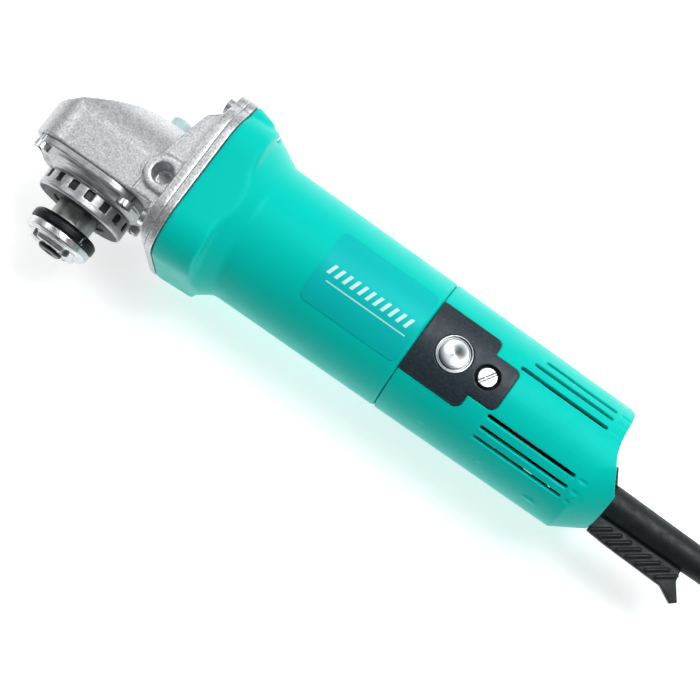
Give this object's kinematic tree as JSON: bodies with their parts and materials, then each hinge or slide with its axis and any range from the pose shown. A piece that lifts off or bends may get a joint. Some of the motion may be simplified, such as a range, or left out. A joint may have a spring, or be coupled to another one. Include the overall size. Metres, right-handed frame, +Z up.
{
  "type": "angle grinder",
  "caption": "Corded 100 mm angle grinder with cast gear head, round plastic motor body, side plates, spindle lock, rear rocker switch and coiled mains cord.",
  "frame": {"origin": "on the spindle axis, in the outer face of the guard collar", "axes": "+X along the motor axis from the gear head to the tail, -Y the way the spindle points, +Z up to the tool's left side, on which it shows its label, as it lies on its right side"},
  "size_m": [0.4623, 0.1282, 0.0666],
  "materials": {
    "cast_aluminium": "cast, fine-grained satin",
    "teal_plastic": "fine moulded texture, satin",
    "label_film": "printed film, semi-gloss",
    "slate_plastic": "fine moulded texture",
    "black_plastic": "moulded",
    "white_nylon": "moulded nylon",
    "button_plastic": "moulded",
    "steel": "ground",
    "zinc_steel": "bright zinc plated",
    "black_steel": "black oxide",
    "lamination_steel": "stacked laminations",
    "copper": "enamelled winding wire",
    "brass": "drawn",
    "carbon": "pressed carbon",
    "bronze": "sintered",
    "rubber": "moulded rubber",
    "cord_pvc": "extruded cable sheath",
    "red_insulation": "wire insulation"
  },
  "bodies": {
    "tool": {"gear_housing": "cast_aluminium", "bearing_box": "cast_aluminium", "front_bearing_plate": "cast_aluminium", "bearing_box_screws": "zinc_steel", "flange_screws": "zinc_steel", "bearing_retainer": "steel", "spindle_bearing": "steel", "dust_seal": "rubber", "top_bush": "bronze", "lock_spring": "steel", "front_bearing": "steel", "rear_bearing": "steel", "rear_bearing_sleeve": "rubber", "stator_core": "lamination_steel", "stator_winding": "copper", "fan_baffle": "black_plastic", "motor_housing": "teal_plastic", "label": "label_film", "rear_cover": "teal_plastic", "left_side_plate": "slate_plastic", "right_side_plate": "slate_plastic", "emblem_discs": "steel", "plate_screws": "zinc_steel", "brush_holders": "brass", "brushes": "carbon", "brush_springs": "steel", "brush_caps": "black_plastic", "switch_body": "black_plastic", "cord_guard": "rubber", "cord_core": "cord_pvc", "cord_clamp": "black_plastic", "clamp_screws": "zinc_steel", "capacitor": "label_film", "lead_wires": "red_insulation", "power_cord": "cord_pvc", "plug_cord": "cord_pvc", "cord_coil": "cord_pvc", "plug_body": "black_plastic", "plug_pins": "brass"},
    "spindle_group": {"spindle": "steel", "ring_gear": "steel", "inner_flange": "black_steel", "lock_nut": "zinc_steel"},
    "armature": {"armature_shaft": "steel", "pinion": "steel", "armature_core": "lamination_steel", "armature_winding": "copper", "commutator": "brass", "fan": "white_nylon"},
    "lock": {"lock_button": "button_plastic", "lock_pin": "steel"},
    "rocker": {"switch_rocker": "black_plastic"}
  },
  "joints": [
    {"name": "armature_spin", "type": "hinge", "parent": "tool", "child": "armature", "pos_m": [0.09, 0.0334, 0], "axis": [1, 0, 0], "continuous": true},
    {"name": "spindle_spin", "type": "hinge", "parent": "tool", "child": "spindle_group", "pos_m": [0, 0, 0], "axis": [0, 1, 0], "continuous": true},
    {"name": "lock_press", "type": "slide", "parent": "tool", "child": "lock", "axis": [0, -1, 0], "range_m": [0, 0.0025], "stiffness_N_per_m": 500, "springref_m": -0.002, "deforming": ["lock_spring"]},
    {"name": "switch_rock", "type": "hinge", "parent": "tool", "child": "rocker", "pos_m": [0.208, 0.0454, 0], "axis": [0, 0, 1], "range_deg": [0, 16]}
  ],
  "couplings": [
    {"joint": "spindle_spin", "follows": "armature_spin", "ratio": 0.2973}
  ]
}
